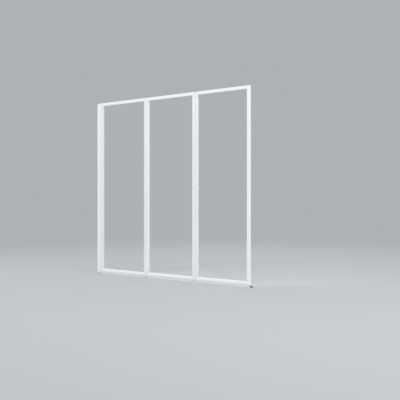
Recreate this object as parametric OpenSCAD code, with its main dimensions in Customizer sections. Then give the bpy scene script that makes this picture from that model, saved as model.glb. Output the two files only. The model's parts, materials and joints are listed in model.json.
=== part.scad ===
// Folding bath screen: three framed glass wings that fold like a concertina on a wall profile.
//
// X runs from the wall along the bath's rim, Y points into the bath and Z points up. The origin
// is on the wall, in the screen's middle plane, at the middle screw hole of the wall profile.
// Every length is in millimetres. Hinge 0 joins wing 0 to the jamb, hinge 1 joins wing 1 to
// wing 0, and hinge 2 joins wing 2 to wing 1.

/* [Overall] */
// Height of the frames and of the wall profile
frame_h = 1198; // [900:1:1600]
// Space between the frames and the bath's rim, closed by the hanging seals
rim_gap = 12; // [8:0.5:16]
// Width of the wing next to the wall
near_wing_w = 420; // [300:0.5:600]
// Width of the middle wing
middle_wing_w = 401; // [300:0.5:580]
// Width of the free wing
free_wing_w = 402.5; // [300:0.5:580]

/* [Frames] */
// Depth of a frame from front to back
frame_d = 16; // [15:0.5:20]
// Face width of an upright
stile_w = 20.5; // [20:0.5:32]
// Face height of a top or bottom rail
rail_h = 21; // [20:0.5:36]
// Wall thickness of the hollow frame profile
frame_wall = 1.6; // [1.4:0.1:1.8]
// Radius of a frame's outer edges
edge_r = 1.2; // [0.6:0.1:1.4]
// Width of the bevel beside the glass
bevel_w = 5.5; // [3:0.5:6]
// Drop of that bevel
bevel_drop = 1.5; // [1:0.25:3]
// Hairline left open at each mitre
mitre_gap = 0.1; // [0.05:0.05:0.3]

/* [Glass] */
// Thickness of the safety glass
glass_t = 3; // [3:0.5:4]
// How far the pane reaches into a frame
glass_bite = 7; // [5:0.5:7.5]
// Thickness of the gasket on each face of the pane
gasket_t = 1; // [0.8:0.1:1.4]
// Bed of gasket under the edge of the pane
gasket_bed = 1; // [0.8:0.1:1.4]
// How far the gasket shows beyond the frame
gasket_stand = 1.5; // [0.5:0.25:3]

/* [Hinges] */
// Space between neighbouring frames
hinge_gap = 1.5; // [1.3:0.1:2]
// Distance of a hinge axis from the face of the frames
axis_offset = 1.5; // [1.4:0.1:2.5]
// Outer radius of the hinge barrels and rings
barrel_r = 4.5; // [4:0.1:5]
// Space round a barrel
barrel_clearance = 0.5; // [0.4:0.1:0.8]
// Height of the ring at each end of a hinge
ring_h = 22; // [16:1:30]
// Radius of the hinge pins
pin_r = 2; // [1.6:0.1:2.2]
// Depth of a pin in the barrel
pin_reach = 30; // [20:1:45]
// Depth of a pin's outer end in its ring
pin_recess = 1; // [0.5:0.25:3]
// Running clearance between a pin and its bush
pin_play = 0.05; // [0.02:0.01:0.08]
// Wall thickness of a bush
bush_wall = 0.6; // [0.4:0.1:0.8]
// Length of a bush in the barrel
bush_l = 14; // [8:1:20]
// Radius of a bush's flange
flange_r = 3.9; // [3.2:0.1:4]
// Thickness of that flange
flange_t = 0.8; // [0.5:0.1:1.2]
// Space between a flange and the ring over it
flange_play = 0.15; // [0.1:0.05:0.3]
// Thickness of a hinge leaf
leaf_t = 1.4; // [1:0.1:1.6]
// Height of a hinge leaf
leaf_h = 42; // [38:1:60]
// Reach of a leaf over the face of its upright
leaf_reach = 14; // [13:0.25:15]
// Setback of a leaf from the end of the frame
leaf_inset = 1; // [0.5:0.25:3]
// Space between a leaf's edge and the heads of its screws
leaf_margin = 2; // [1.5:0.1:3]

/* [Lap strips and gap seals] */
// Width of the lap strip's foot on its upright
lap_foot = 4.5; // [3:0.25:6]
// Reach of the lap strip over the next upright
lap_reach = 5.5; // [3:0.25:6]
// Thickness of the lap strip
lap_t = 0.9; // [0.8:0.1:1.1]
// Space under the lap strip
lap_space = 0.6; // [0.4:0.05:0.7]
// Thickness of the seal in a hinge gap
gap_seal_t = 1.1; // [0.8:0.1:1.2]
// Width of that seal
gap_seal_w = 3.6; // [2:0.2:4]
// Width of the lip seal under the lap strip
lip_seal_w = 3; // [2:0.25:3.5]
// How far that lip seal shows beyond the lap strip
lip_seal_reach = 0.6; // [0.2:0.1:0.8]
// Space between that lip seal and the next upright
lip_seal_play = 0.2; // [0.1:0.05:0.3]

/* [Corner keys] */
// Length of each leg of a corner key
key_leg = 46; // [42:1:70]
// Space round a key in its hollow
key_play = 0.15; // [0.1:0.05:0.3]
// Distance of a key's screw from the outer corner of the frame
key_screw_at = 32; // [28:1:38]

/* [Bottom seals] */
// Thickness of the seal's base strip
seal_base_t = 1.5; // [1:0.1:2]
// Width of that strip
seal_base_w = 13; // [11:0.5:14.5]
// Thickness of a hanging lip
seal_lip_t = 1.2; // [0.8:0.1:1.6]
// Outward lean of a lip at the rim
seal_lean = 2; // [1:0.25:3]
// Width of the root's neck in the rail's slot
root_neck_w = 2.2; // [1.6:0.1:2.6]
// Width of the root's head inside the rail
root_head_w = 4.4; // [3.6:0.1:5]
// Thickness of that head
root_head_t = 1.5; // [1:0.1:2]
// Space beside the neck in its slot
slot_play = 0.1; // [0.05:0.05:0.2]
// Setback of a seal from each end of its wing
seal_setback = 1; // [0.5:0.25:3]

/* [End plug] */
// Length of the plug beyond the free wing's seal
plug_l = 21; // [14:0.5:26]
// Width of that plug
plug_w = 11; // [9:0.5:13]
// Height of that plug over the rim
plug_h = 8; // [5:0.25:8]
// Height of its tip
plug_tip_h = 2.5; // [1.5:0.25:4.5]
// Length of the slope down to its tip
plug_slope_l = 13; // [6:0.5:13.5]
// Length of its tongue between the seal's lips
plug_tongue_l = 8; // [4:0.5:15]
// Height of that tongue
plug_tongue_h = 4.5; // [3:0.5:4.5]
// Space round that tongue
plug_play = 0.2; // [0.1:0.05:0.3]

/* [Wall side] */
// Projection of the wall profile from the wall
profile_w = 25; // [20:0.5:26]
// Wall thickness of the wall profile and the jamb
profile_wall = 1.6; // [1.4:0.1:1.8]
// Radius of the long edges of the wall profile and its caps
profile_edge_r = 0.5; // [0.3:0.1:0.7]
// Space between the jamb and the wall profile's sides
jamb_play = 0.2; // [0.1:0.05:0.3]
// Projection of the jamb from the wall
jamb_reach = 31; // [30:0.5:40]
// Distance of the jamb's hidden edge from the wall, taken up when the screen is fitted
jamb_set = 6; // [4:0.5:8]
// Drop of the wall side's top below the top of the frames
wall_top_drop = 1.5; // [0:0.25:4]
// Space between the wall side's foot and the bath's rim
wall_foot_gap = 5.5; // [3:0.5:12]
// Thickness of the end caps
cap_t = 1.5; // [1:0.1:2.5]
// Depth of a cap's spigot
spigot_h = 8; // [5:0.5:15]
// Space round a cap's spigot
spigot_play = 0.2; // [0.1:0.05:0.3]
// Radius of the wall profile's screw holes
wall_hole_r = 2.75; // [2:0.05:3.5]
// Distance between neighbouring wall screw holes
wall_hole_pitch = 500; // [350:1:550]
// Distance of the jamb screws from the wall
jamb_screw_x = 15; // [13:0.5:18]
// Distance between neighbouring jamb screws
jamb_screw_pitch = 440; // [300:1:540]

/* [Screws] */
// Shank radius of the small screws
screw_r = 1.5; // [1.2:0.05:1.7]
// Head radius of the countersunk screws
screw_head_r = 2.8; // [2.4:0.1:3]
// Height of a countersunk head
screw_head_h = 1.3; // [1:0.05:1.35]
// Length of a leaf screw
leaf_screw_l = 8; // [6:0.5:9]
// Length of a key screw
key_screw_l = 9; // [7:0.5:10]
// Space round a screw in its hole
screw_play = 0.05; // [0.03:0.01:0.1]
// Head radius of a jamb screw
pan_head_r = 3.2; // [2.8:0.1:3.6]
// Head height of a jamb screw
pan_head_h = 2; // [1.5:0.1:2.5]
// Length of a jamb screw under its head
jamb_screw_l = 9; // [7:0.5:12]
// Wall thickness of a jamb screw's cover
cover_wall = 0.9; // [0.7:0.1:1.3]
// Space between a screw head and its cover
cover_play = 0.2; // [0.1:0.05:0.4]

/* [Hidden] */
$fn = 48;

white = [0.95, 0.96, 0.97];
white_plastic = [0.93, 0.93, 0.92];
clear_pvc = [0.82, 0.85, 0.87];
white_rubber = [0.86, 0.87, 0.88];
dark_rubber = [0.2, 0.2, 0.21];
steel = [0.7, 0.71, 0.73];
zinc = [0.58, 0.59, 0.62];
nylon = [0.86, 0.86, 0.82];
glass_tint = [0.75, 0.88, 0.87, 0.35];
overcut = 1;

// The wings, in order from the wall
wing_w = [near_wing_w, middle_wing_w, free_wing_w];
wing_x = [
    jamb_reach + hinge_gap,
    jamb_reach + near_wing_w + 2 * hinge_gap,
    jamb_reach + near_wing_w + middle_wing_w + 3 * hinge_gap
];
function wing_end(wing) = wing_x[wing] + wing_w[wing];
last_wing = len(wing_w) - 1;

// Which side of the frames a hinge's axis is on: 1 is the bath's side and -1 the room's side
hinge_side = [1, -1, 1];
half_d = frame_d / 2;
half_h = frame_h / 2;
function hinge_x(hinge) = wing_x[hinge] - hinge_gap / 2;
function hinge_y(hinge) = hinge_side[hinge] * (half_d + axis_offset);

cove_r = barrel_r + barrel_clearance;
bush_r = pin_r + pin_play + bush_wall;
barrel_end = half_h - ring_h - flange_t - flange_play;
hollow_d = frame_d - 2 * frame_wall;
groove_w = glass_t + 2 * gasket_t;
groove_depth = glass_bite + gasket_bed;
screw_hole_r = screw_r + screw_play;
leaf_screw_x = hinge_gap / 2 + leaf_reach - leaf_margin - screw_head_r;
leaf_screw_z = [half_h - leaf_h + leaf_margin + screw_head_r, half_h - ring_h - screw_head_r];
// The lap strips and gap seals end where their foot would meet a rail's mitre
strip_end = half_h - lap_foot * rail_h / stile_w - edge_r;
slot_w = root_neck_w + 2 * slot_play;
profile_d = frame_d + 2 * jamb_play + 2 * profile_wall;
wall_top = half_h - wall_top_drop;
wall_foot = wall_foot_gap - half_h - rim_gap;
profile_foot = wall_foot + cap_t;
profile_l = wall_top - wall_foot - 2 * cap_t;
jamb_screw_y = profile_d / 2;

// Common shapes

// Turns an outline drawn in X and Z into a slab of the given depth in the middle plane
module slab(depth) {
    rotate([90, 0, 0])
        linear_extrude(height = depth, center = true)
            children();
}

// A bar that stands on the wall's plane, with rounded edges along its height
module rounded_bar(w, depth, h) {
    linear_extrude(height = h) {
        translate([profile_edge_r, -depth / 2])
            square([w - 2 * profile_edge_r, depth]);
        translate([0, profile_edge_r - depth / 2])
            square([w, depth - 2 * profile_edge_r]);
        for (x = [profile_edge_r, w - profile_edge_r], side = [-1, 1])
            translate([x, side * (depth / 2 - profile_edge_r)])
                circle(r = profile_edge_r);
    }
}

// Repeats its children at the top and, mirrored, at the bottom
module both_ends() {
    children();
    mirror([0, 0, 1])
        children();
}

module countersunk_screw(length) {
    cylinder(h = length, r = screw_r);
    cylinder(h = screw_head_h, r1 = screw_head_r, r2 = screw_r);
}

// Room for a countersunk screw, open at its head
module screw_room(length) {
    head_room_r = screw_head_r + screw_play;
    cylinder(h = length + overcut, r = screw_hole_r);
    cylinder(h = screw_head_h, r1 = head_room_r, r2 = screw_hole_r);
    translate([0, 0, -overcut])
        cylinder(h = overcut, r = head_room_r);
}

// A rod on the axis of a hinge
module hinge_rod(hinge, r, low, high) {
    translate([hinge_x(hinge), hinge_y(hinge), low])
        cylinder(h = high - low, r = r);
}

// A rod on the axis of a hinge that passes right through
module hinge_room(hinge, r) {
    hinge_rod(hinge, r, -half_h - overcut, half_h + overcut);
}

// Mirrors its children about the middle of a wing's width
module swap_sides(wing) {
    translate([wing_x[wing] + wing_end(wing), 0, 0])
        mirror([1, 0, 0])
            children();
}

// A wing's outline in X and Z, less an inset at its sides and another at its top and bottom
module wing_rectangle(wing, side_inset, end_inset) {
    translate([wing_x[wing] + side_inset, -half_h + end_inset])
        square([wing_w[wing] - 2 * side_inset, frame_h - 2 * end_inset]);
}

// Frame profile

// Section of a frame profile: X runs from its outer edge to the glass, and Y through its depth
module frame_section(face_w) {
    bevel = bevel_w * face_w / stile_w;
    intersection() {
        polygon([
            [0, -half_d],
            [face_w - bevel, -half_d],
            [face_w, bevel_drop - half_d],
            [face_w, half_d - bevel_drop],
            [face_w - bevel, half_d],
            [0, half_d]
        ]);
        union() {
            translate([edge_r, -half_d])
                square([face_w, frame_d]);
            translate([0, edge_r - half_d])
                square([face_w, frame_d - 2 * edge_r]);
            for (side = [-1, 1])
                translate([edge_r, side * (half_d - edge_r)])
                    circle(r = edge_r);
        }
    }
}

// An upright at the hinge side of its wing, mitred at both ends
module stile_blank(wing) {
    left = wing_x[wing];
    intersection() {
        translate([left, 0, -half_h])
            linear_extrude(height = frame_h)
                frame_section(stile_w);
        slab(2 * frame_d)
            polygon([
                [left, mitre_gap - half_h],
                [left + stile_w, rail_h + mitre_gap - half_h],
                [left + stile_w, half_h - rail_h - mitre_gap],
                [left, half_h - mitre_gap]
            ]);
    }
}

module top_rail_blank(wing) {
    left = wing_x[wing];
    right = wing_end(wing);
    intersection() {
        translate([left, 0, half_h])
            rotate([0, 90, 0])
                linear_extrude(height = wing_w[wing])
                    frame_section(rail_h);
        slab(2 * frame_d)
            polygon([
                [left, half_h],
                [left + stile_w, half_h - rail_h],
                [right - stile_w, half_h - rail_h],
                [right, half_h]
            ]);
    }
}

// The hollow that runs round inside a wing's frame, kept a wall away from the hinge coves
module frame_hollow(wing, play = 0) {
    difference() {
        slab(hollow_d - 2 * play)
            difference() {
                wing_rectangle(wing, frame_wall + play, frame_wall + play);
                wing_rectangle(
                    wing,
                    stile_w - groove_depth - frame_wall - play,
                    rail_h - groove_depth - frame_wall - play
                );
            }
        hinge_room(wing, cove_r + frame_wall + play);
        if (wing < last_wing)
            hinge_room(wing + 1, cove_r + frame_wall + play);
    }
}

// The groove round the glass
module glass_groove(wing) {
    slab(groove_w)
        wing_rectangle(wing, stile_w - groove_depth, rail_h - groove_depth);
}

// Coves that clear the barrel and rings of the hinge that carries the wing, and the rings of the next
module hinge_coves(wing) {
    hinge_room(wing, cove_r);
    if (wing < last_wing)
        both_ends()
            hinge_rod(wing + 1, cove_r, barrel_end, half_h + overcut);
}

// Wings

module inner_stile(wing) {
    color(white)
        difference() {
            stile_blank(wing);
            hinge_coves(wing);
            frame_hollow(wing);
            glass_groove(wing);
            leaf_screw_places(wing)
                screw_room(leaf_screw_l);
            stile_key_screw_places(wing)
                screw_room(key_screw_l);
        }
}

module outer_stile(wing) {
    color(white)
        difference() {
            union() {
                difference() {
                    swap_sides(wing)
                        stile_blank(wing);
                    hinge_coves(wing);
                }
                if (wing < last_wing) {
                    hinge_rod(wing + 1, barrel_r, -barrel_end, barrel_end);
                    lap_strip(wing + 1);
                }
            }
            frame_hollow(wing);
            glass_groove(wing);
            if (wing < last_wing)
                hinge_room(wing + 1, bush_r);
            swap_sides(wing)
                stile_key_screw_places(wing)
                    screw_room(key_screw_l);
        }
}

// The strip that covers a hinge gap, on the side away from the hinge's axis
module lap_strip(hinge) {
    edge = hinge_x(hinge) - hinge_gap / 2;
    foot_root = (edge_r + frame_wall) / 2;
    mirror([0, hinge_side[hinge] > 0 ? 1 : 0, 0])
        translate([edge - lap_foot, half_d, -strip_end]) {
            translate([0, -foot_root, 0])
                cube([lap_foot, foot_root + lap_space + lap_t, 2 * strip_end]);
            translate([0, lap_space, 0])
                cube([lap_foot + hinge_gap + lap_reach, lap_t, 2 * strip_end]);
        }
}

module top_rail(wing) {
    color(white)
        difference() {
            top_rail_blank(wing);
            hinge_coves(wing);
            frame_hollow(wing);
            glass_groove(wing);
            rail_key_screw_places(wing)
                screw_room(key_screw_l);
        }
}

module bottom_rail(wing) {
    color(white)
        difference() {
            mirror([0, 0, 1])
                top_rail_blank(wing);
            hinge_coves(wing);
            frame_hollow(wing);
            glass_groove(wing);
            mirror([0, 0, 1])
                rail_key_screw_places(wing)
                    screw_room(key_screw_l);
            seal_slot(wing);
        }
}

module corner_keys(wing) {
    color(zinc)
        difference() {
            frame_hollow(wing, key_play);
            key_cut(wing);
            leaf_screw_places(wing)
                screw_room(leaf_screw_l);
            key_screw_places(wing)
                screw_room(key_screw_l);
        }
}

// Takes the frame's hollow away beyond the legs of the keys
module key_cut(wing) {
    slab(2 * frame_d) {
        wing_rectangle(wing, key_leg, -overcut);
        wing_rectangle(wing, -overcut, key_leg);
    }
}

// Places of the screws that hold the keys in the inner stile, with Z into the metal
module stile_key_screw_places(wing) {
    both_ends()
        translate([wing_x[wing], 0, half_h - key_screw_at])
            rotate([0, 90, 0])
                children();
}

// Places of the screws that hold the keys in the top rail
module rail_key_screw_places(wing) {
    for (x = [wing_x[wing] + key_screw_at, wing_end(wing) - key_screw_at])
        translate([x, 0, half_h])
            rotate([180, 0, 0])
                children();
}

// Places of all the screws that hold a wing's keys
module key_screw_places(wing) {
    stile_key_screw_places(wing)
        children();
    swap_sides(wing)
        stile_key_screw_places(wing)
            children();
    both_ends()
        rail_key_screw_places(wing)
            children();
}

module key_screws(wing) {
    color(white)
        key_screw_places(wing)
            countersunk_screw(key_screw_l);
}

module pane(wing) {
    slab(glass_t)
        wing_rectangle(wing, stile_w - glass_bite, rail_h - glass_bite);
}

module glass(wing) {
    color(glass_tint)
        pane(wing);
}

module gasket(wing) {
    color(white_rubber)
        difference() {
            slab(groove_w)
                difference() {
                    wing_rectangle(wing, stile_w - groove_depth, rail_h - groove_depth);
                    wing_rectangle(wing, stile_w + gasket_stand, rail_h + gasket_stand);
                }
            pane(wing);
        }
}

// Bottom seals

// Runs an outline drawn in Y and Z along X
module along(from, to) {
    translate([from, 0, 0])
        rotate([90, 0, 90])
            linear_extrude(height = to - from)
                children();
}

function seal_from(wing) = wing_x[wing] + seal_setback;
function seal_to(wing) = wing_end(wing) - seal_setback;
function root_from(wing) = wing_x[wing] + key_leg + overcut;
function root_to(wing) = wing_end(wing) - key_leg - overcut;

module seal_slot(wing) {
    along(root_from(wing), root_to(wing))
        translate([-slot_w / 2, -half_h - overcut])
            square([slot_w, frame_wall + 2 * overcut]);
}

module bottom_seal(wing) {
    lip_at = seal_base_w / 2;
    color(clear_pvc) {
        along(seal_from(wing), seal_to(wing))
            translate([0, -half_h]) {
                translate([-seal_base_w / 2, -seal_base_t])
                    square([seal_base_w, seal_base_t]);
                for (side = [-1, 1])
                    polygon([
                        [side * (lip_at - seal_lean - seal_lip_t), -seal_base_t / 2],
                        [side * (lip_at - seal_lean), -seal_base_t / 2],
                        [side * lip_at, -rim_gap],
                        [side * (lip_at - seal_lip_t), -rim_gap]
                    ]);
            }
        along(root_from(wing) + slot_play, root_to(wing) - slot_play)
            translate([0, -half_h]) {
                translate([-root_neck_w / 2, -seal_base_t / 2])
                    square([root_neck_w, seal_base_t / 2 + frame_wall + slot_play + root_head_t / 2]);
                translate([-root_head_w / 2, frame_wall + slot_play])
                    square([root_head_w, root_head_t]);
            }
    }
}

// Closes the end of the last seal on the rim, with a tongue between the seal's lips
module seal_end_plug() {
    seal_end = seal_to(last_wing);
    rim = -half_h - rim_gap;
    tongue_w = seal_base_w - 2 * (seal_lean + seal_lip_t + plug_play);
    color(dark_rubber) {
        slab(plug_w)
            polygon([
                [seal_end, rim],
                [seal_end + plug_l, rim],
                [seal_end + plug_l, rim + plug_tip_h],
                [seal_end + plug_l - plug_slope_l, rim + plug_h],
                [seal_end, rim + plug_h]
            ]);
        translate([seal_end - plug_tongue_l, -tongue_w / 2, rim + plug_play])
            cube([plug_tongue_l + overcut, tongue_w, plug_tongue_h]);
    }
}

// Hinges. The ring at each end rides with the wing that the hinge carries.

// The pair of rings and leaves at the top and bottom of a wing's hinge
module leaves(wing) {
    lower_x = cove_r + barrel_clearance;
    leaf_end = hinge_gap / 2 + leaf_reach;
    color(white)
        both_ends()
            difference() {
                union() {
                    hinge_rod(wing, barrel_r, half_h - ring_h, half_h);
                    mirror([0, hinge_side[wing] < 0 ? 1 : 0, 0])
                        translate([hinge_x(wing), half_d, half_h]) {
                            translate([0, 0, -ring_h])
                                cube([leaf_end, leaf_t, ring_h - leaf_inset]);
                            translate([lower_x, 0, -leaf_h])
                                cube([leaf_end - lower_x, leaf_t, leaf_h - leaf_inset]);
                        }
                }
                hinge_room(wing, pin_r + screw_play);
                leaf_screw_places(wing)
                    screw_room(leaf_screw_l);
            }
}

// Places of the screws that hold a wing's leaves, with Z into the upright
module leaf_screw_places(wing) {
    both_ends()
        for (z = leaf_screw_z)
            translate([hinge_x(wing) + leaf_screw_x, hinge_side[wing] * (half_d + leaf_t), z])
                rotate([hinge_side[wing] * 90, 0, 0])
                    children();
}

module leaf_screws(wing) {
    color(steel)
        leaf_screw_places(wing)
            countersunk_screw(leaf_screw_l);
}

// The pins are held in the rings
module hinge_pins(wing) {
    color(steel)
        both_ends()
            hinge_rod(wing, pin_r, barrel_end - pin_reach, half_h - pin_recess);
}

// The bushes sit in the ends of the barrel, and their flanges carry the rings
module bushes(hinge) {
    color(nylon)
        both_ends()
            difference() {
                union() {
                    hinge_rod(hinge, bush_r, barrel_end - bush_l, barrel_end);
                    hinge_rod(hinge, flange_r, barrel_end, barrel_end + flange_t);
                }
                hinge_room(hinge, pin_r + pin_play);
            }
}

// The strip seal in a hinge gap, on the side away from the hinge's axis, and the lip seal that is
// stuck under the lap strip there
module gap_seal(hinge) {
    edge = hinge_x(hinge) - hinge_gap / 2;
    lip_end = hinge_gap + lap_reach + lip_seal_reach;
    color(dark_rubber)
        mirror([0, hinge_side[hinge] > 0 ? 1 : 0, 0])
            translate([edge, half_d, -strip_end]) {
                translate([0, -edge_r - gap_seal_w, 0])
                    cube([gap_seal_t, gap_seal_w, 2 * strip_end]);
                translate([lip_end - lip_seal_w, lip_seal_play, 0])
                    cube([lip_seal_w, lap_space - lip_seal_play, 2 * strip_end]);
            }
}

// Wall side

module wall_profile() {
    color(white)
        difference() {
            translate([0, 0, profile_foot])
                rounded_bar(profile_w, profile_d, profile_l);
            translate([profile_wall, profile_wall - profile_d / 2, profile_foot - overcut])
                cube([profile_w, profile_d - 2 * profile_wall, profile_l + 2 * overcut]);
            for (step = [-1:1])
                translate([-overcut, 0, step * wall_hole_pitch])
                    rotate([0, 90, 0])
                        cylinder(h = profile_wall + 2 * overcut, r = wall_hole_r);
            jamb_screw_places()
                cylinder(h = profile_wall + overcut, r = screw_hole_r);
        }
}

module jamb_profile() {
    color(white)
        difference() {
            union() {
                difference() {
                    translate([jamb_set, -half_d, profile_foot])
                        cube([jamb_reach - jamb_set, frame_d, profile_l]);
                    both_ends()
                        hinge_rod(0, cove_r, barrel_end, half_h + rim_gap);
                }
                hinge_rod(0, barrel_r, -barrel_end, barrel_end);
                lap_strip(0);
            }
            difference() {
                translate([jamb_set + profile_wall, profile_wall - half_d, profile_foot - overcut])
                    cube([
                        jamb_reach - jamb_set - 2 * profile_wall,
                        frame_d - 2 * profile_wall,
                        profile_l + 2 * overcut
                    ]);
                hinge_rod(0, cove_r + profile_wall, wall_foot, wall_top);
            }
            hinge_room(0, bush_r);
            jamb_screw_places()
                cylinder(h = jamb_screw_l, r = screw_hole_r);
        }
}

// The cap over the wall profile and the jamb, with a spigot behind the jamb. Its seat is at Z = 0.
module jamb_cap() {
    spigot_w = jamb_set - profile_wall - 2 * spigot_play;
    difference() {
        union() {
            rounded_bar(profile_w, profile_d, cap_t);
            rounded_bar(jamb_reach, frame_d, cap_t);
            translate([profile_wall + spigot_play, spigot_play - half_d, -spigot_h])
                cube([spigot_w, frame_d - 2 * spigot_play, spigot_h + cap_t / 2]);
        }
        hinge_room(0, cove_r);
    }
}

module jamb_top_cap() {
    color(white_plastic)
        translate([0, 0, profile_foot + profile_l])
            jamb_cap();
}

module jamb_bottom_cap() {
    color(white_plastic)
        translate([0, 0, profile_foot])
            mirror([0, 0, 1])
                jamb_cap();
}

// Places of the screws that fix the jamb in the wall profile, with Z into the jamb
module jamb_screw_places() {
    for (step = [-1:1])
        translate([jamb_screw_x, jamb_screw_y, step * jamb_screw_pitch])
            rotate([90, 0, 0])
                children();
}

module jamb_screws() {
    color(steel)
        jamb_screw_places() {
            cylinder(h = jamb_screw_l, r = screw_r);
            translate([0, 0, -pan_head_h])
                cylinder(h = pan_head_h, r = pan_head_r);
        }
}

module jamb_screw_covers() {
    inner_r = pan_head_r + cover_play;
    inner_h = pan_head_h + cover_play;
    color(white_plastic)
        jamb_screw_places()
            difference() {
                translate([0, 0, -inner_h - cover_wall])
                    cylinder(h = inner_h + cover_wall, r = inner_r + cover_wall);
                translate([0, 0, -inner_h])
                    cylinder(h = inner_h + overcut, r = inner_r);
            }
}

wall_profile();
jamb_profile();
jamb_top_cap();
jamb_bottom_cap();
jamb_screws();
jamb_screw_covers();
bushes(0);  // jamb_bushes
gap_seal(0);  // jamb_gap_seal

inner_stile(0);  // near_wing_inner_stile
outer_stile(0);  // near_wing_outer_stile
top_rail(0);  // near_wing_top_rail
bottom_rail(0);  // near_wing_bottom_rail
corner_keys(0);  // near_wing_corner_keys
key_screws(0);  // near_wing_key_screws
glass(0);  // near_wing_glass
gasket(0);  // near_wing_gasket
bottom_seal(0);  // near_wing_bottom_seal
leaves(0);  // near_wing_leaves
leaf_screws(0);  // near_wing_leaf_screws
hinge_pins(0);  // near_wing_hinge_pins
bushes(1);  // near_wing_bushes
gap_seal(1);  // near_wing_gap_seal

inner_stile(1);  // middle_wing_inner_stile
outer_stile(1);  // middle_wing_outer_stile
top_rail(1);  // middle_wing_top_rail
bottom_rail(1);  // middle_wing_bottom_rail
corner_keys(1);  // middle_wing_corner_keys
key_screws(1);  // middle_wing_key_screws
glass(1);  // middle_wing_glass
gasket(1);  // middle_wing_gasket
bottom_seal(1);  // middle_wing_bottom_seal
leaves(1);  // middle_wing_leaves
leaf_screws(1);  // middle_wing_leaf_screws
hinge_pins(1);  // middle_wing_hinge_pins
bushes(2);  // middle_wing_bushes
gap_seal(2);  // middle_wing_gap_seal

inner_stile(2);  // free_wing_inner_stile
outer_stile(2);  // free_wing_outer_stile
top_rail(2);  // free_wing_top_rail
bottom_rail(2);  // free_wing_bottom_rail
corner_keys(2);  // free_wing_corner_keys
key_screws(2);  // free_wing_key_screws
glass(2);  // free_wing_glass
gasket(2);  // free_wing_gasket
bottom_seal(2);  // free_wing_bottom_seal
leaves(2);  // free_wing_leaves
leaf_screws(2);  // free_wing_leaf_screws
hinge_pins(2);  // free_wing_hinge_pins
seal_end_plug();
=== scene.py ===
"""Looks of the folding bath screen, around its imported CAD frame.

Everything is in metres in the CAD frame: X from the wall along the bath's rim, Y into the bath and
Z up. The floor stands in for the rim, and the bottom seals touch it.
"""

import json
import math

import bmesh
import bpy
from mathutils import Matrix, Vector


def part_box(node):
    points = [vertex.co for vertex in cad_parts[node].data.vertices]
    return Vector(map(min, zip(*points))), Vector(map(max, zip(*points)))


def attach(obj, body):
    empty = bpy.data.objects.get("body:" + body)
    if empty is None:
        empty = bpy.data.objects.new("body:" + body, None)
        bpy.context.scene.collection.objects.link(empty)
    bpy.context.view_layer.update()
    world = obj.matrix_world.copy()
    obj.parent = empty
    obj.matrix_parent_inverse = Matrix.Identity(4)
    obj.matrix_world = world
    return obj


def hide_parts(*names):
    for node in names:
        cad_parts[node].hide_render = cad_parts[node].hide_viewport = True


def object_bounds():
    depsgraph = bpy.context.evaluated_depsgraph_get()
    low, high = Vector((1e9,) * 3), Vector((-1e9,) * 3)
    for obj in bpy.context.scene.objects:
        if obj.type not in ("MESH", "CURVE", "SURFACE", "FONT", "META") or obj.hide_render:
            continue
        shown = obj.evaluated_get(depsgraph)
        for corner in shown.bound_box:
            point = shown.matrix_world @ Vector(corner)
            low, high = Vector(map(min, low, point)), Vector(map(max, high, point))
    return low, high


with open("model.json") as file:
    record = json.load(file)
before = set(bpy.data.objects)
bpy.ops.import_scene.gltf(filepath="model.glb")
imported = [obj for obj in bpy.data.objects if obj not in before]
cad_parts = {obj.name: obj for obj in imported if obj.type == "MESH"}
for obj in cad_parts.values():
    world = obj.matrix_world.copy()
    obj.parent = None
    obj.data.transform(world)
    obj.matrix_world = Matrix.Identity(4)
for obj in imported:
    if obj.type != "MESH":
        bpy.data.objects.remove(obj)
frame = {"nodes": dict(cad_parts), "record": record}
cad_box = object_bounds()

MM = 0.001

# Camera of the photograph, found from its two vanishing points
FRAME_PX = 400
FOCAL_PX = 615.5
SENSOR_MM = 36.0
CAMERA_PLACE = (3.138, -3.186, -0.0886)
CAMERA_TURN_DEG = 35.2

# Studio
BACKDROP = (0.43, 0.445, 0.46)
FLOOR_COLOUR = (0.49, 0.50, 0.51)
FLOOR_DROP = 0.05 * MM
FLOOR_RADIUS = 14.0
FADE_FROM = 0.8
FADE_TO = 5.0
GLASS_SHADOW = (0.96, 0.975, 0.97)
WORLD_LIGHT = (0.98, 0.988, 1.0)
WORLD_STRENGTH = 0.69
# Name, place, aimed at, width in metres and power in watts of each lamp
LAMPS = [
    ("key", (-2.6, -4.0, 3.0), (0.6, 0.0, 0.0), 1.8, 121.0),
    ("fill", (4.8, -1.6, 1.8), (0.6, 0.0, 0.0), 3.0, 105.0),
    ("back", (0.4, 4.4, 3.0), (0.6, 0.0, 0.0), 3.2, 57.5),
]

WINGS = ("near_wing", "middle_wing", "free_wing")

# Screws, with the outer sizes of the CAD's
HEAD_R = 2.8 * MM
HEAD_H = 1.3 * MM
HEAD_EDGE = 0.12 * MM
SHANK_R = 1.5 * MM
SCREW_STEPS = 32
THREAD_PITCH = 0.6 * MM
THREAD_DEPTH = 0.35 * MM
POINT_LENGTH = 1.4 * MM
# Arm and half width of the cross recess at its mouth and at its floor
RECESS_MOUTH = (1.5 * MM, 0.42 * MM)
RECESS_FLOOR = (0.8 * MM, 0.22 * MM)
RECESS_DEPTH = 1.0 * MM
LEAF_SCREW_L = 8.0 * MM
KEY_SCREW_L = 9.0 * MM
# Turn from one screw of a set to the next
LEAF_SCREW_TURN_DEG = 37.0
KEY_SCREW_TURN_DEG = 53.0

# Covers of the jamb screws
COVER_R = 4.3 * MM
COVER_H = 3.1 * MM
COVER_INNER_R = 3.4 * MM
COVER_INNER_H = 2.2 * MM
COVER_FLAT_R = 1.8 * MM
COVER_CROWN = 0.12 * MM
COVER_BEND_R = 1.1 * MM
COVER_BEND_STEPS = 8
COVER_RIM = 0.15 * MM
COVER_STEPS = 40

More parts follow.
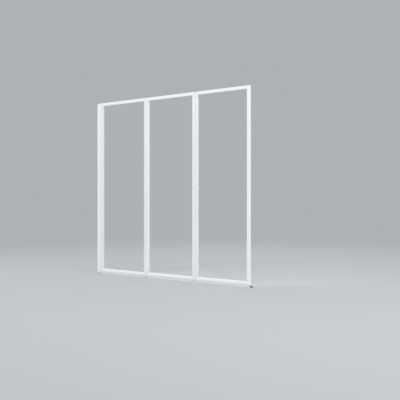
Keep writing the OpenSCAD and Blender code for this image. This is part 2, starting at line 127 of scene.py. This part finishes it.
# Bottom seals
SEAL_DROP = 0.05 * MM
SEAL_BASE_T = 1.5 * MM
SEAL_ROUND_R = 0.5 * MM
LIP_ROOT_Y = 3.95 * MM
LIP_TIP_Y = 5.85 * MM
LIP_HALF_T = 0.6 * MM
LIP_THINNING = 0.22 * MM
LIP_BEND = 1.7
LIP_STEPS = 10
LIP_SPAN = 9.0 * MM
WAVE_DEPTH = 0.12 * MM
NECK_HALF = 1.1 * MM
BARB_HALF = 2.2 * MM
BARB_TIP_HALF = 1.3 * MM
BARB_EDGE = 0.5 * MM
RAIL_WALL = 1.7 * MM

# Section of a gasket in mm: distance from its outer edge, and half of its depth
GASKET_SECTION = [
    (0.0, 2.46),
    (8.0, 2.46),
    (8.35, 2.43),
    (8.8, 2.3),
    (9.2, 2.05),
    (9.45, 1.75),
    (9.5, 1.6),
    (9.4, 1.5),
    (1.0, 1.5),
]

# Nose of the end plug in mm: distance from the seal's end, height over the rim, inset of its edge
PLUG_NOSE = [
    (0.0, 8.0, 0.15),
    (0.15, 8.0, 0.0),
    (7.0, 8.0, 0.0),
    (8.2, 7.85, 0.0),
    (9.5, 7.3, 0.0),
    (19.6, 3.05, 0.0),
    (20.5, 2.68, 0.2),
    (21.0, 2.5, 0.8),
]
PLUG_FOOT_R = 0.5 * MM
PLUG_CROWN_R = 1.4 * MM
TONGUE_HALF = 3.1 * MM
TONGUE_FOOT = 0.2 * MM
TONGUE_HEAD = 4.7 * MM
TONGUE_R = 0.4 * MM
TONGUE_CHAMFER = 0.3 * MM
TONGUE_OVERLAP = 0.5 * MM

# Gap seals in mm, along X and Y: a strip with three fins, and a lip with a bead at its tip
STRIP_T = 0.45
STRIP_W = 3.6
FIN_PLACES = (0.25, 1.5, 2.75)
# One fin from its root: along X, and along Y from its place
FIN = [(STRIP_T, 0.0), (1.02, 0.12), (1.1, 0.25), (1.02, 0.38), (STRIP_T, 0.55)]
FIN_SECTION = [(0.0, 0.0), (STRIP_T, 0.0)]
FIN_SECTION += [(x, place + y) for place in FIN_PLACES for x, y in FIN]
FIN_SECTION += [(STRIP_T, STRIP_W), (0.0, STRIP_W)]
LIP_SECTION = [
    (0.0, 0.4),
    (0.0, 0.22),
    (0.15, 0.15),
    (1.9, 0.15),
    (2.3, 0.02),
    (2.6, 0.0),
    (2.9, 0.05),
    (3.0, 0.15),
    (3.0, 0.3),
    (2.93, 0.39),
    (2.8, 0.4),
]

# Softened edges and the gap round a pane
GLASS_EDGE = 0.3 * MM
LEAF_EDGE = 0.25 * MM
PANE_GAP = 0.06 * MM
WELD_DISTANCE = 0.001 * MM


# Studio and camera


def aim(obj, target):
    """Turns an object's -Z axis towards a point."""
    away = Vector(target) - obj.location
    obj.rotation_euler = away.to_track_quat("-Z", "Y").to_euler()


def add_object(name, data):
    obj = bpy.data.objects.new(name, data)
    bpy.context.scene.collection.objects.link(obj)
    return obj


def make_camera():
    data = bpy.data.cameras.new("camera")
    data.sensor_width = SENSOR_MM
    data.lens = SENSOR_MM * FOCAL_PX / FRAME_PX
    data.clip_end = 100.0
    camera = add_object("camera", data)
    camera.location = CAMERA_PLACE
    camera.rotation_euler = (math.radians(90), 0.0, math.radians(CAMERA_TURN_DEG))
    bpy.context.scene.camera = camera


def make_lamps():
    for name, place, target, width, power in LAMPS:
        data = bpy.data.lights.new(name, "AREA")
        data.shape = "SQUARE"
        data.size = width
        data.energy = power
        lamp = add_object(name, data)
        lamp.location = place
        aim(lamp, target)


class Tree:
    """Short calls for a node tree. Object coordinates are the CAD frame's, in metres."""

    def __init__(self, tree):
        self.tree = tree
        tree.nodes.clear()

    def add(self, kind, settings=None, **inputs):
        node = self.tree.nodes.new("ShaderNode" + kind)
        for key, value in (settings or {}).items():
            setattr(node, key, value)
        for key, value in inputs.items():
            self.set(node.inputs[key.replace("_", " ")], value)
        return node

    def set(self, socket, value):
        if isinstance(value, bpy.types.NodeSocket):
            self.tree.links.new(value, socket)
        elif socket.type == "RGBA" and len(value) == 3:
            socket.default_value = (*value, 1.0)
        else:
            socket.default_value = value

    def maths(self, operation, first, second):
        node = self.add("Math", {"operation": operation})
        self.set(node.inputs[0], first)
        self.set(node.inputs[1], second)
        return node.outputs[0]

    def blend(self, share, first, second):
        """Mixes two shaders."""
        node = self.add("MixShader")
        self.set(node.inputs[0], share)
        self.set(node.inputs[1], first)
        self.set(node.inputs[2], second)
        return node.outputs[0]

    def noise(self, scale, detail=2.0, stretch=(1.0, 1.0, 1.0)):
        place = self.add("TexCoord").outputs["Object"]
        if stretch != (1.0, 1.0, 1.0):
            place = self.add("Mapping", Vector=place, Scale=stretch).outputs[0]
        return self.add("TexNoise", Vector=place, Scale=scale, Detail=detail).outputs[0]

    def spread(self, value, low, high, start=0.3, end=0.7):
        """Maps start..end of a value to low..high."""
        node = self.add("MapRange")
        for key, number in zip(
            ("Value", "From Min", "From Max", "To Min", "To Max"), (value, start, end, low, high)
        ):
            self.set(node.inputs[key], number)
        return node.outputs[0]

    def mix(self, share, first, second):
        """Mixes two colours."""
        node = self.add("Mix", {"data_type": "RGBA"})
        self.set(node.inputs[0], share)
        self.set(node.inputs[6], first)
        self.set(node.inputs[7], second)
        return node.outputs[2]

    def bump(self, height, depth, strength=1.0):
        return self.add("Bump", Height=height, Distance=depth, Strength=strength).outputs[0]


def dimmed(tone, share):
    return [share * c for c in tone]


def make_world():
    """Soft white light, and the backdrop's own colour where the camera, metal or glass sees it."""
    world = bpy.data.worlds.new("studio")
    bpy.context.scene.world = world
    world.use_nodes = True
    t = Tree(world.node_tree)
    path = t.add("LightPath").outputs
    seen = t.maths("MAXIMUM", path["Is Camera Ray"], path["Is Glossy Ray"])
    seen = t.maths("MAXIMUM", seen, path["Is Transmission Ray"])
    light = t.add("Background", Color=WORLD_LIGHT, Strength=WORLD_STRENGTH).outputs[0]
    backdrop = t.add("Background", Color=BACKDROP, Strength=1.0).outputs[0]
    t.add("OutputWorld", Surface=t.blend(seen, light, backdrop))


def make_floor():
    """A round floor at the height of the bath's rim, which fades into the backdrop."""
    low, high = cad_box
    mesh = bpy.data.meshes.new("floor")
    bm = bmesh.new()
    bmesh.ops.create_circle(bm, cap_ends=True, segments=96, radius=FLOOR_RADIUS)
    bm.to_mesh(mesh)
    bm.free()
    floor = add_object("floor", mesh)
    floor.location = ((low.x + high.x) / 2, (low.y + high.y) / 2, low.z - FLOOR_DROP)
    material = bpy.data.materials.new("floor")
    material.use_nodes = True
    t = Tree(material.node_tree)
    place = t.add("TexCoord").outputs["Object"]
    distance = t.add("VectorMath", {"operation": "LENGTH"}, Vector=place).outputs["Value"]
    far = t.add("MapRange", {"interpolation_type": "SMOOTHERSTEP"}, Value=distance)
    t.set(far.inputs["From Min"], FADE_FROM)
    t.set(far.inputs["From Max"], FADE_TO)
    colour = t.mix(t.noise(40.0, 3.0), dimmed(FLOOR_COLOUR, 0.985), FLOOR_COLOUR)
    near = t.add("BsdfDiffuse", Color=colour).outputs[0]
    away = t.add("Emission", Color=BACKDROP, Strength=1.0).outputs[0]
    t.add("OutputMaterial", Surface=t.blend(far.outputs[0], near, away))
    mesh.materials.append(material)


# Materials


def start(name):
    """A new material, and short calls for its nodes."""
    material = bpy.data.materials.new(name)
    material.use_nodes = True
    return material, Tree(material.node_tree)


def powder_coat(name, tone):
    """Satin powder coat with a fine orange peel."""
    material, t = start(name)
    drift = t.mix(t.noise(5.0, 3.0), dimmed(tone, 0.985), tone)
    speckle = t.mix(t.spread(t.noise(2600.0, 2.0), 0.0, 0.5), drift, dimmed(tone, 0.965))
    peel = t.noise(850.0, 1.5)
    shader = t.add(
        "BsdfPrincipled",
        Base_Color=speckle,
        Roughness=t.spread(t.noise(300.0, 3.0), 0.34, 0.46),
        Normal=t.bump(peel, 0.05 * MM, 0.5),
        IOR=1.5,
    )
    t.add("OutputMaterial", Surface=shader.outputs[0])
    return material


def moulded_plastic(name, tone):
    """Matt moulded plastic with a fine grain."""
    material, t = start(name)
    colour = t.mix(t.noise(30.0, 3.0), dimmed(tone, 0.97), tone)
    shader = t.add(
        "BsdfPrincipled",
        Base_Color=colour,
        Roughness=t.spread(t.noise(700.0, 2.0), 0.42, 0.56),
        Normal=t.bump(t.noise(1800.0, 2.0), 0.03 * MM, 0.6),
        IOR=1.48,
        Subsurface_Weight=0.05,
        Subsurface_Radius=(0.001, 0.001, 0.001),
    )
    t.add("OutputMaterial", Surface=shader.outputs[0])
    return material


def rubber(name, tone):
    """Matt rubber with a fine grain, a little uneven in tone."""
    material, t = start(name)
    colour = t.mix(t.noise(60.0, 4.0), dimmed(tone, 0.9), tone)
    shader = t.add(
        "BsdfPrincipled",
        Base_Color=colour,
        Roughness=t.spread(t.noise(500.0, 2.0), 0.5, 0.68),
        Normal=t.bump(t.noise(1500.0, 2.0), 0.03 * MM, 0.6),
        IOR=1.5,
    )
    t.add("OutputMaterial", Surface=shader.outputs[0])
    return material


def clear_pvc(name, tone):
    """Extruded soft PVC, milky, with faint draw lines along X."""
    material, t = start(name)
    colour = t.mix(t.noise(25.0, 3.0, (0.2, 1.0, 1.0)), dimmed(tone, 0.97), tone)
    lines = t.noise(1100.0, 1.0, (0.004, 1.0, 1.0))
    shader = t.add(
        "BsdfPrincipled",
        Base_Color=colour,
        Roughness=t.spread(t.noise(60.0, 2.0, (0.1, 1.0, 1.0)), 0.24, 0.34),
        Normal=t.bump(lines, 0.02 * MM, 0.5),
        IOR=1.45,
        Transmission_Weight=0.15,
        Subsurface_Weight=0.6,
        Subsurface_Radius=(0.003, 0.003, 0.003),
    )
    t.add("OutputMaterial", Surface=shader.outputs[0])
    return material


def satin_steel(name, tone, rough):
    """Drawn steel with a grain along Z."""
    material, t = start(name)
    grain = t.noise(1500.0, 3.0, (1.0, 1.0, 0.15))
    colour = t.mix(grain, dimmed(tone, 0.88), tone)
    shader = t.add(
        "BsdfPrincipled",
        Base_Color=colour,
        Metallic=1.0,
        Roughness=t.spread(t.noise(600.0, 3.0), rough - 0.06, rough + 0.06),
        Normal=t.bump(grain, 0.02 * MM, 0.6),
    )
    t.add("OutputMaterial", Surface=shader.outputs[0])
    return material


def cast_zinc(name, tone):
    """Dull cast zinc with a mottled skin."""
    material, t = start(name)
    mottle = t.noise(180.0, 5.0)
    colour = t.mix(t.spread(mottle, 0.0, 1.0), dimmed(tone, 0.8), tone)
    shader = t.add(
        "BsdfPrincipled",
        Base_Color=colour,
        Metallic=1.0,
        Roughness=t.spread(mottle, 0.42, 0.6),
        Normal=t.bump(t.noise(900.0, 3.0), 0.06 * MM, 0.8),
    )
    t.add("OutputMaterial", Surface=shader.outputs[0])
    return material


def safety_glass(name, tone):
    """Clear glass with the slight wave of tempering, which lets the lamps through."""
    material, t = start(name)
    wave = t.noise(4.0, 1.0, (1.0, 1.0, 2.5))
    glass = t.add(
        "BsdfPrincipled",
        Base_Color=t.mix(t.noise(2.0, 1.0), dimmed(tone, 0.995), tone),
        Roughness=t.spread(t.noise(9.0, 4.0), 0.0, 0.02),
        Normal=t.bump(wave, 0.1 * MM, 0.3),
        IOR=1.5,
        Transmission_Weight=1.0,
    ).outputs[0]
    open_air = t.add("BsdfTransparent", Color=GLASS_SHADOW).outputs[0]
    shade = t.add("LightPath").outputs["Is Shadow Ray"]
    t.add("OutputMaterial", Surface=t.blend(shade, glass, open_air))
    return material


make_camera()
make_world()
make_lamps()
make_floor()

LOOKS = {
    "white_frame": powder_coat("white_powder_coat", (0.868, 0.869, 0.877)),
    "white_hinges": powder_coat("white_hinge_coat", (0.853, 0.855, 0.863)),
    "white_screws": powder_coat("white_screw_coat", (0.836, 0.839, 0.845)),
    "white_plastic": moulded_plastic("white_plastic", (0.853, 0.854, 0.855)),
    "glass": safety_glass("safety_glass", (0.985, 0.998, 0.993)),
    "gasket": rubber("white_gasket", (0.876, 0.879, 0.885)),
    # Near-black rubber of the end plug and of the lips at the lap strips. Its tone is darker than
    # such rubber, so it is partly painted shade: the shade line at each lap strip's end and the
    # shade at the free end's foot.
    "dark_rubber": rubber("dark_rubber", (0.1, 0.1, 0.104)),
    "clear_pvc": clear_pvc("clear_pvc", (0.90, 0.92, 0.93)),
    "steel": satin_steel("satin_steel", (0.66, 0.67, 0.68), 0.3),
    "zinc": cast_zinc("cast_zinc", (0.52, 0.53, 0.55)),
    "nylon": moulded_plastic("nylon", (0.86, 0.86, 0.82)),
}
SLOT_OF = {part["node"]: part["material_slot"] for part in frame["record"]["subparts"]}

for name, node in frame["nodes"].items():
    node.data.materials.clear()
    node.data.materials.append(LOOKS[SLOT_OF[name]])


# Pieces that stand for plainer CAD solids


def islands(node):
    """Points of each separate solid of a CAD node, in the order of the solids' middles."""
    bm = bmesh.new()
    bm.from_mesh(frame["nodes"][node].data)
    bmesh.ops.remove_doubles(bm, verts=bm.verts, dist=WELD_DISTANCE)
    left = set(bm.verts)
    found = []
    while left:
        group = {left.pop()}
        edge = set(group)
        while edge:
            edge = {e.other_vert(v) for v in edge for e in v.link_edges} - group
            group |= edge
        left -= group
        found.append([v.co.copy() for v in group])
    bm.free()

    def rounded_middle(points):
        return tuple(round(c, 5) for c in sum(points, Vector()) / len(points))

    return sorted(found, key=rounded_middle)


def corners(points):
    """Lowest and highest corner of the box round some points."""
    low = Vector([min(p[i] for p in points) for i in range(3)])
    high = Vector([max(p[i] for p in points) for i in range(3)])
    return low, high


def rod_place(points):
    """Matrix that puts a piece made along Z on a turned solid, its wide end at Z = 0."""
    low, high = corners(points)
    size = high - low
    axis = max(range(3), key=lambda i: min(abs(size[i] - size[j]) for j in range(3) if j != i))
    middle = (low + high) / 2

    def reach(end):
        near = [p for p in points if abs(p[axis] - end) < 0.01 * MM]
        return max(max(abs(p[i] - middle[i]) for i in range(3) if i != axis) for p in near)

    head_low = reach(low[axis]) > reach(high[axis])
    origin = middle.copy()
    origin[axis] = low[axis] if head_low else high[axis]
    into = Vector((0.0, 0.0, 0.0))
    into[axis] = 1.0 if head_low else -1.0
    turn = Vector((0.0, 0.0, 1.0)).rotation_difference(into)
    return Matrix.Translation(origin) @ turn.to_matrix().to_4x4()


def ring_of(bm, radius, height, steps):
    """Ring of vertices about the Z axis."""
    angles = [math.tau * i / steps for i in range(steps)]
    return [
        bm.verts.new((radius * math.cos(angle), radius * math.sin(angle), height))
        for angle in angles
    ]


def bridge(bm, first, second):
    """Band of faces between two closed rings of vertices."""
    steps = len(first)
    for i in range(steps):
        j = (i + 1) % steps
        bm.faces.new((first[i], first[j], second[j], second[i]))


def turned(bm, profile, steps):
    """Rings along a profile of (radius, height). Returns the first and the last ring."""
    rings = [ring_of(bm, radius, height, steps) for radius, height in profile]
    for first, second in zip(rings, rings[1:]):
        bridge(bm, first, second)
    return rings[0], rings[-1]


def cross(bm, arm, half_width, height):
    """Ring of twelve vertices in the shape of a cross."""
    a, b = half_width, arm
    points = [(b, a), (a, a), (a, b), (-a, b), (-a, a), (-b, a)]
    points += [(-x, -y) for x, y in points]
    return [bm.verts.new((x, y, height)) for x, y in points]


def mesh_from(bm, name):
    """Turns finished faces outward and makes a mesh of them."""
    bmesh.ops.recalc_face_normals(bm, faces=bm.faces)
    mesh = bpy.data.meshes.new(name)
    bm.to_mesh(mesh)
    bm.free()
    return mesh


def screw_mesh(length):
    """Countersunk screw with a cross recess and a thread, head at Z = 0, Z into the metal."""
    bm = bmesh.new()
    profile = [(HEAD_R - HEAD_EDGE, 0.0), (HEAD_R, 0.07 * MM), (SHANK_R, HEAD_H)]
    height = HEAD_H + THREAD_PITCH / 2
    while height < length - POINT_LENGTH:
        profile += [(SHANK_R, height), (SHANK_R - THREAD_DEPTH, height + THREAD_PITCH / 2)]
        height += THREAD_PITCH
    profile += [(SHANK_R - 0.3 * MM, length - 0.9 * MM), (0.35 * MM, length)]
    top, tip = turned(bm, profile, SCREW_STEPS)
    bm.faces.new(tip)
    mouth = cross(bm, *RECESS_MOUTH, 0.0)
    sides = [bm.edges.new((mouth[i - 1], mouth[i])) for i in range(len(mouth))]
    rim = [e for v in top for e in v.link_edges if e.other_vert(v) in top]
    bmesh.ops.triangle_fill(bm, edges=list(set(rim)) + sides, use_beauty=True)
    floor = cross(bm, *RECESS_FLOOR, RECESS_DEPTH)
    bridge(bm, mouth, floor)
    bm.faces.new(floor)
    return mesh_from(bm, "screw")


def cover_mesh():
    """Domed cap over a screw head, its dome at Z = 0, open on the side of the metal."""
    bm = bmesh.new()
    profile = [(COVER_FLAT_R, 0.0)]
    for i in range(COVER_BEND_STEPS + 1):
        angle = math.radians(90 * i / COVER_BEND_STEPS)
        out = COVER_R - COVER_BEND_R + COVER_BEND_R * math.sin(angle)
        profile.append((out, COVER_CROWN + COVER_BEND_R * (1 - math.cos(angle))))
    profile += [
        (COVER_R, COVER_H - COVER_RIM),
        (COVER_R - COVER_RIM, COVER_H),
        (COVER_INNER_R, COVER_H),
        (COVER_INNER_R, COVER_H - COVER_INNER_H),
    ]
    dome, ceiling = turned(bm, profile, COVER_STEPS)
    bm.faces.new(dome)
    bm.faces.new(ceiling)
    return mesh_from(bm, "cover")


def finish_piece(name, mesh, node):
    """Makes a piece from a mesh in place of a CAD node, on the same body and with its material."""
    piece = add_object(name, mesh)
    mesh.materials.clear()
    mesh.materials.append(LOOKS[SLOT_OF[node]])
    smooth_by_angle(piece)
    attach(piece, BODY_OF[node])
    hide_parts(node)
    return piece


def smooth_by_angle(piece, degrees=35.0):
    """Smooth faces, with edges sharper than the angle marked sharp."""
    mesh = piece.data
    bm = bmesh.new()
    bm.from_mesh(mesh)
    limit = math.radians(degrees)
    for face in bm.faces:
        face.smooth = True
    for edge in bm.edges:
        edge.smooth = len(edge.link_faces) == 2 and edge.calc_face_angle(0.0) < limit
    bm.to_mesh(mesh)
    bm.free()


def set_of(name, node, template, spin_deg=0.0):
    """One piece with a copy of the template on each solid of a CAD node."""
    bm = bmesh.new()
    for count, points in enumerate(islands(node)):
        part = template.copy()
        spin = Matrix.Rotation(math.radians(spin_deg * count), 4, "Z")
        part.transform(rod_place(points) @ spin)
        bm.from_mesh(part)
        bpy.data.meshes.remove(part)
    mesh = bpy.data.meshes.new(name)
    bm.to_mesh(mesh)
    bm.free()
    return finish_piece(name, mesh, node)


def seal_outline(base_half, top, rim, wave):
    """Outline in Y and Z of a bottom seal: a base strip with two lips that curve outward."""
    under = top - SEAL_BASE_T
    base = [
        (base_half - SEAL_ROUND_R, top),
        (base_half, top - SEAL_ROUND_R),
        (base_half - 0.1 * MM, under + 0.3 * MM),
        (base_half - 1.4 * MM, under),
    ]
    outer, inner = [], []
    for i in range(1, LIP_STEPS + 1):
        u = i / LIP_STEPS
        half_t = LIP_HALF_T - LIP_THINNING * u
        y = LIP_ROOT_Y + (LIP_TIP_Y - LIP_ROOT_Y) * u**LIP_BEND
        z = under - (under - rim - 0.25 * MM) * u
        outer.append((y + half_t, z, u))
        inner.append((y - half_t, z, u))
    tip = [(LIP_TIP_Y + 0.2 * MM, rim, 1.0), (LIP_TIP_Y - 0.2 * MM, rim, 1.0)]
    lip = outer + tip + inner[::-1]
    side = [(y, z, 0.0) for y, z in base] + lip + [(LIP_ROOT_Y - 0.9 * MM, under, 0.0)]
    points = [(y + wave * u * u, z) for y, z, u in side]
    return points + [(-y + wave * u * u, z) for y, z, u in side[::-1]]


def extruded(bm, outlines):
    """Skins a row of outlines given as (x, points) and closes both ends."""
    rings = [[bm.verts.new((x, y, z)) for y, z in points] for x, points in outlines]
    for first, second in zip(rings, rings[1:]):
        bridge(bm, first, second)
    bm.faces.new(rings[0])
    bm.faces.new(rings[-1])


def seal_wave(x):
    """Sideways sway of the seals' lips at a place along the screen."""
    return WAVE_DEPTH * (math.sin(x * 47.0) + 0.6 * math.sin(x * 113.0)) / 1.6


def bottom_seal(wing):
    """Seal with curved lips, and a barbed root where the CAD has its root."""
    node = wing + "_bottom_seal"
    low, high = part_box(node)
    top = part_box(wing + "_bottom_rail")[0].z - SEAL_DROP
    root = [v.co.x for v in frame["nodes"][node].data.vertices if v.co.z > top + 0.5 * MM]
    bm = bmesh.new()
    steps = round((high.x - low.x) / LIP_SPAN)
    outlines = []
    for i in range(steps + 1):
        x = low.x + (high.x - low.x) * i / steps
        outlines.append((x, seal_outline(high.y, top, low.z, seal_wave(x))))
    extruded(bm, outlines)
    barb = [
        (NECK_HALF, top - 0.7 * MM),
        (NECK_HALF, top + RAIL_WALL),
        (BARB_HALF, top + RAIL_WALL),
        (BARB_HALF, top + RAIL_WALL + BARB_EDGE),
        (BARB_TIP_HALF, high.z),
    ]
    outline = barb + [(-y, z) for y, z in barb[::-1]]
    extruded(bm, [(min(root), outline), (max(root), outline)])
    return finish_piece(wing + "_lip_seal", mesh_from(bm, node), node)


def gasket(wing):
    """U-shaped gasket round a pane, mitred, with a rounded lip on each face of the glass."""
    node = wing + "_gasket"
    low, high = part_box(node)
    section = [(d, -y) for d, y in GASKET_SECTION] + [(d, y) for d, y in GASKET_SECTION[::-1]]
    bm = bmesh.new()
    rings = []
    for right, up in ((0, 0), (1, 0), (1, 1), (0, 1)):
        ring = []
        for d, y in section:
            x = high.x - d * MM if right else low.x + d * MM
            z = high.z - d * MM if up else low.z + d * MM
            ring.append(bm.verts.new((x, y * MM, z)))
        rings.append(ring)
    for i in range(4):
        bridge(bm, rings[i - 1], rings[i])
    return finish_piece(wing + "_lipped_gasket", mesh_from(bm, node), node)


def rounded_outline(low, high, inset, lower_r, upper_r, steps=6):
    """Outline in Y and Z of a rounded rectangle, drawn in by an inset."""
    points = []
    for y, z, start_deg, radius in (
        (high.y, low.z, -90, lower_r),
        (high.y, high.z, 0, upper_r),
        (low.y, high.z, 90, upper_r),
        (low.y, low.z, 180, lower_r),
    ):
        radius = max(radius, inset + 0.02 * MM)
        middle_y = y - radius if y > 0 else y + radius
        middle_z = z + radius if z == low.z else z - radius
        for i in range(steps + 1):
            angle = math.radians(start_deg + 90 * i / steps)
            out = radius - inset
            points.append((middle_y + out * math.cos(angle), middle_z + out * math.sin(angle)))
    return points


def end_plug():
    """Moulded plug with a rounded nose that slopes to its tip, and a tongue in the seal."""
    node = "seal_end_plug"
    low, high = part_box(node)
    nose_at = high.x - PLUG_NOSE[-1][0] * MM
    nose = []
    for along, height, inset in PLUG_NOSE:
        top = Vector((0.0, high.y, low.z + height * MM))
        outline = rounded_outline(low, top, inset * MM, PLUG_FOOT_R, PLUG_CROWN_R)
        nose.append((nose_at + along * MM, outline))
    foot = Vector((0.0, -TONGUE_HALF, low.z + TONGUE_FOOT))
    head = Vector((0.0, TONGUE_HALF, low.z + TONGUE_HEAD))
    tongue_steps = (
        (low.x, TONGUE_CHAMFER),
        (low.x + TONGUE_CHAMFER, 0.0),
        (nose_at + TONGUE_OVERLAP, 0.0),
    )
    tongue = [
        (x, rounded_outline(foot, head, inset, TONGUE_R, TONGUE_R)) for x, inset in tongue_steps
    ]
    bm = bmesh.new()
    extruded(bm, nose)
    extruded(bm, tongue)
    return finish_piece("moulded_end_plug", mesh_from(bm, node), node)


def gap_seals(node, name):
    """The finned strip in a hinge gap and the lip under the lap strip."""
    bm = bmesh.new()
    for points in islands(node):
        low, high = corners(points)
        section = FIN_SECTION if high.x - low.x < high.y - low.y else LIP_SECTION
        side = 1 if high.y > 0 else -1
        near_y = low.y if side > 0 else high.y
        rings = [
            [bm.verts.new((low.x + x * MM, near_y + side * y * MM, z)) for x, y in section]
            for z in (low.z, high.z)
        ]
        bridge(bm, *rings)
        bm.faces.new(rings[0])
        bm.faces.new(rings[1])
    return finish_piece(name, mesh_from(bm, name), node)


BODY_OF = {
    node: body for body, nodes in frame["record"]["behaviour"]["bodies"].items() for node in nodes
}
leaf_screw = screw_mesh(LEAF_SCREW_L)
key_screw = screw_mesh(KEY_SCREW_L)
for wing in WINGS:
    set_of(wing + "_leaf_screw_set", wing + "_leaf_screws", leaf_screw, LEAF_SCREW_TURN_DEG)
    set_of(wing + "_key_screw_set", wing + "_key_screws", key_screw, KEY_SCREW_TURN_DEG)
    bottom_seal(wing)
    gasket(wing)
for side in ("jamb",) + WINGS[:2]:
    gap_seals(side + "_gap_seal", side + "_gap_lips")
end_plug()
set_of("jamb_cover_set", "jamb_screw_covers", cover_mesh())
for template in [m for m in bpy.data.meshes if m.users == 0]:
    bpy.data.meshes.remove(template)


# Small radii on the edges of the panes and hinge leaves, and a hair's gap round each pane


def loosen(name):
    """Draws the pane's faces in by a hair, so that light passes between it and its gasket."""
    gap = frame["nodes"][name].modifiers.new("gap", "DISPLACE")
    gap.mid_level = 0.0
    gap.strength = -PANE_GAP


def soften(name, width):
    """Rounds the sharp edges of a CAD node with modifiers."""
    node = frame["nodes"][name]
    weld = node.modifiers.new("weld", "WELD")
    weld.merge_threshold = WELD_DISTANCE
    bevel = node.modifiers.new("bevel", "BEVEL")
    bevel.width = width
    bevel.segments = 2
    bevel.limit_method = "ANGLE"
    bevel.angle_limit = math.radians(38.0)
    bevel.use_clamp_overlap = True
    normals = node.modifiers.new("normals", "WEIGHTED_NORMAL")
    normals.keep_sharp = True


for name in frame["nodes"]:
    if name.endswith("_glass"):
        soften(name, GLASS_EDGE)
        loosen(name)
    elif name.endswith("_leaves"):
        soften(name, LEAF_EDGE)

bpy.context.scene.view_settings.view_transform = "Standard"
